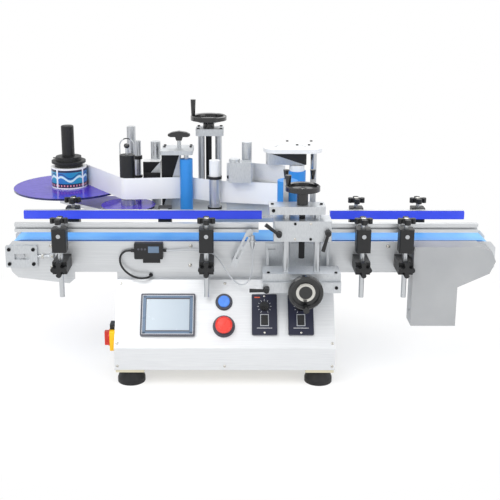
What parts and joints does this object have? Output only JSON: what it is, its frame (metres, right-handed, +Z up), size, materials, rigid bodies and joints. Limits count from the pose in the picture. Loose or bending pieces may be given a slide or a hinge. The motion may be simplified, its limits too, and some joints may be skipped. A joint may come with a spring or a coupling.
{
  "type": "bottle labelling machine",
  "caption": "Tabletop machine that carries round bottles on a belt between guide rails and wraps a label from a reel around them.",
  "frame": {"origin": "on the floor under the middle of the machine", "axes": "+X along the conveyor from the label reel to the drive end, +Y away from the operator, +Z up"},
  "size_m": [1.227, 0.658, 0.626],
  "materials": {
    "cabinet_paint": null,
    "panel_sheet": null,
    "cream_sheet": null,
    "foot_rubber": null,
    "screen_frame": null,
    "screen_glass": null,
    "black_plastic": null,
    "yellow_plastic": null,
    "red_plastic": null,
    "blue_plastic": null,
    "aluminium": null,
    "steel": null,
    "belt_pvc": null,
    "cover_paint": null,
    "motor_paint": null,
    "black_metal": null,
    "violet_acrylic": null,
    "label_paper": null,
    "blue_roller": null,
    "rail_metal": null,
    "cable_black": null,
    "cable_grey": null
  },
  "bodies": {
    "machine": {"cabinet_shell": "cabinet_paint", "front_panel": "panel_sheet", "base_plate": "cream_sheet", "leveling_feet": "foot_rubber", "touch_screen_housing": "screen_frame", "touch_screen_glass": "screen_glass", "panel_bezels": "black_plastic", "main_switch_plate": "yellow_plastic", "conveyor_frame": "aluminium", "conveyor_belt": "belt_pvc", "belt_tensioners": "steel", "drive_cover": "cover_paint", "conveyor_motor": "motor_paint", "conveyor_supports": "black_metal", "sensor_amplifier": "black_plastic", "sensor_mount": "steel", "amplifier_cable": "cable_black", "sensor_cable": "cable_grey", "column_frame": "steel", "slide_bracket": "aluminium"},
    "label_head": {"head_plate": "aluminium", "head_housings": "aluminium", "peel_plate": "steel", "label_web": "label_paper", "wrap_frame": "aluminium", "wrap_motor": "black_metal"},
    "supply_reel": {"supply_disc": "violet_acrylic", "label_roll": "label_paper"},
    "brake_reel": {"rewind_disc": "violet_acrylic", "tension_roller": "black_plastic"},
    "carriage": {"cross_carriage": "aluminium"},
    "press_lift": {"lift_block": "aluminium"},
    "tail_roller": {"tail_roller": "steel"},
    "drive_roller": {"drive_roller": "steel"},
    "main_switch_handle": {"main_switch_handle": "red_plastic"},
    "start_button": {"start_button": "blue_plastic"},
    "estop_button": {"estop_button": "red_plastic"},
    "speed_knob_left": {"speed_knob_left": "black_plastic"},
    "speed_knob_right": {"speed_knob_right": "black_plastic"},
    "rocker_left": {"rocker_left": "black_plastic"},
    "rocker_right": {"rocker_right": "black_plastic"},
    "near_left_rail": {"near_left_rail": "rail_metal"},
    "near_right_rail": {"near_right_rail": "rail_metal"},
    "far_left_rail": {"far_left_rail": "rail_metal"},
    "far_right_rail": {"far_right_rail": "rail_metal"},
    "near_left_posts": {"near_left_posts": "steel"},
    "near_right_posts": {"near_right_posts": "steel"},
    "far_left_posts": {"far_left_posts": "steel"},
    "far_right_posts": {"far_right_posts": "steel"},
    "column_handwheel": {"column_handwheel": "black_plastic"},
    "guide_roller": {"guide_roller": "aluminium"},
    "feed_roller": {"feed_roller": "blue_roller"},
    "pinch_knob": {"pinch_knob": "black_plastic"},
    "wrap_roller": {"wrap_roller": "blue_roller"},
    "cross_handwheel": {"cross_handwheel": "black_plastic"},
    "cross_lever": {"cross_lever": "black_plastic"},
    "lift_handwheel": {"lift_handwheel": "black_plastic"},
    "lever_left": {"lever_left": "black_plastic"},
    "lever_right": {"lever_right": "black_plastic"},
    "press_roller": {"press_roller": "blue_roller"}
  },
  "joints": [
    {"name": "drive_roller_spin", "type": "hinge", "parent": "machine", "child": "drive_roller", "pos_m": [0.5745, -0.108, 0.2907], "axis": [0, 1, 0], "continuous": true},
    {"name": "tail_roller_spin", "type": "hinge", "parent": "machine", "child": "tail_roller", "pos_m": [-0.5215, -0.108, 0.2907], "axis": [0, 1, 0], "continuous": true},
    {"name": "main_switch_turn", "type": "hinge", "parent": "machine", "child": "main_switch_handle", "pos_m": [-0.3065, -0.22, 0.106], "axis": [-1, 0, 0], "range_deg": [0, 90]},
    {"name": "start_button_press", "type": "slide", "parent": "machine", "child": "start_button", "axis": [0, 0.8218, -0.5698], "range_m": [0, 0.004], "stiffness_N_per_m": 400, "springref_m": -0.004},
    {"name": "estop_button_press", "type": "slide", "parent": "machine", "child": "estop_button", "axis": [0, 0.8218, -0.5698], "range_m": [0, 0.005], "stiffness_N_per_m": 500, "springref_m": -0.004},
    {"name": "speed_knob_left_turn", "type": "hinge", "parent": "machine", "child": "speed_knob_left", "pos_m": [0.0595, -0.21234, 0.18234], "axis": [0, -0.8218, 0.5698], "range_deg": [-150, 150]},
    {"name": "rocker_left_tilt", "type": "hinge", "parent": "machine", "child": "rocker_left", "pos_m": [0.0595, -0.23081, 0.155], "axis": [1, 0, 0], "range_deg": [0, 8]},
    {"name": "speed_knob_right_turn", "type": "hinge", "parent": "machine", "child": "speed_knob_right", "pos_m": [0.1455, -0.21234, 0.18234], "axis": [0, -0.8218, 0.5698], "range_deg": [-150, 150]},
    {"name": "rocker_right_tilt", "type": "hinge", "parent": "machine", "child": "rocker_right", "pos_m": [0.1455, -0.23081, 0.155], "axis": [1, 0, 0], "range_deg": [0, 8]},
    {"name": "near_left_rail_height", "type": "slide", "parent": "machine", "child": "near_left_posts", "axis": [0, 0, 1], "range_m": [-0.018, 0.025]},
    {"name": "near_left_rail_reach", "type": "slide", "parent": "near_left_posts", "child": "near_left_rail", "axis": [0, 1, 0], "range_m": [-0.01, 0.03]},
    {"name": "near_right_rail_height", "type": "slide", "parent": "machine", "child": "near_right_posts", "axis": [0, 0, 1], "range_m": [-0.018, 0.025]},
    {"name": "near_right_rail_reach", "type": "slide", "parent": "near_right_posts", "child": "near_right_rail", "axis": [0, 1, 0], "range_m": [-0.01, 0.03]},
    {"name": "far_left_rail_height", "type": "slide", "parent": "machine", "child": "far_left_posts", "axis": [0, 0, 1], "range_m": [-0.015, 0.01]},
    {"name": "far_left_rail_reach", "type": "slide", "parent": "far_left_posts", "child": "far_left_rail", "axis": [0, -1, 0], "range_m": [-0.01, 0.03]},
    {"name": "far_right_rail_height", "type": "slide", "parent": "machine", "child": "far_right_posts", "axis": [0, 0, 1], "range_m": [-0.015, 0.025]},
    {"name": "far_right_rail_reach", "type": "slide", "parent": "far_right_posts", "child": "far_right_rail", "axis": [0, -1, 0], "range_m": [-0.01, 0.03]},
    {"name": "head_lift", "type": "slide", "parent": "machine", "child": "label_head", "axis": [0, 0, 1], "range_m": [-0.012, 0.06]},
    {"name": "column_handwheel_turn", "type": "hinge", "parent": "machine", "child": "column_handwheel", "pos_m": [-0.0805, 0.152, 0.562], "axis": [0, 0, 1], "range_deg": [-1170, 5850]},
    {"name": "supply_reel_spin", "type": "hinge", "parent": "label_head", "child": "supply_reel", "pos_m": [-0.4635, 0.179, 0.38], "axis": [0, 0, 1], "continuous": true},
    {"name": "brake_reel_spin", "type": "hinge", "parent": "label_head", "child": "brake_reel", "pos_m": [-0.2875, 0.042, 0.38], "axis": [0, 0, 1], "continuous": true},
    {"name": "feed_roller_spin", "type": "hinge", "parent": "label_head", "child": "feed_roller", "pos_m": [-0.1345, 0.022, 0.4], "axis": [0, 0, 1], "continuous": true},
    {"name": "guide_roller_spin", "type": "hinge", "parent": "label_head", "child": "guide_roller", "pos_m": [-0.0615, -0.014, 0.4], "axis": [0, 0, 1], "continuous": true},
    {"name": "pinch_knob_turn", "type": "hinge", "parent": "label_head", "child": "pinch_knob", "pos_m": [-0.1545, 0.062, 0.54], "axis": [0, 0, 1], "range_deg": [-180, 180]},
    {"name": "wrap_roller_spin", "type": "hinge", "parent": "label_head", "child": "wrap_roller", "pos_m": [0.1445, -0.023, 0.4], "axis": [0, 0, 1], "continuous": true},
    {"name": "cross_slide_travel", "type": "slide", "parent": "machine", "child": "carriage", "axis": [0, 1, 0], "range_m": [-0.02, 0.018]},
    {"name": "cross_handwheel_turn", "type": "hinge", "parent": "machine", "child": "cross_handwheel", "pos_m": [0.1495, -0.292, 0.249], "axis": [0, 1, 0], "range_deg": [-3700, 3300]},
    {"name": "cross_lever_turn", "type": "hinge", "parent": "machine", "child": "cross_lever", "pos_m": [0.0615, -0.268, 0.246], "axis": [0, -1, 0], "range_deg": [-40, 50]},
    {"name": "press_lift_travel", "type": "slide", "parent": "carriage", "child": "press_lift", "axis": [0, 0, 1], "range_m": [-0.045, 0.012]},
    {"name": "lift_handwheel_turn", "type": "hinge", "parent": "carriage", "child": "lift_handwheel", "pos_m": [0.1435, -0.232, 0.463], "axis": [0, 0, 1], "range_deg": [-8200, 2200]},
    {"name": "lever_left_turn", "type": "hinge", "parent": "press_lift", "child": "lever_left", "pos_m": [0.0891, -0.26, 0.376], "axis": [0, -1, 0], "range_deg": [-45, 60]},
    {"name": "lever_right_turn", "type": "hinge", "parent": "press_lift", "child": "lever_right", "pos_m": [0.2005, -0.26, 0.379], "axis": [0, -1, 0], "range_deg": [-60, 45]},
    {"name": "press_roller_spin", "type": "hinge", "parent": "press_lift", "child": "press_roller", "pos_m": [0.1135, -0.156, 0.44], "axis": [0, 0, 1], "continuous": true}
  ],
  "couplings": [
    {"joint": "tail_roller_spin", "follows": "drive_roller_spin", "ratio": 1},
    {"joint": "column_handwheel_turn", "follows": "head_lift", "rad_per_m": 1570.8},
    {"joint": "cross_handwheel_turn", "follows": "cross_slide_travel", "rad_per_m": 3141.6},
    {"joint": "lift_handwheel_turn", "follows": "press_lift_travel", "rad_per_m": 3141.6}
  ]
}
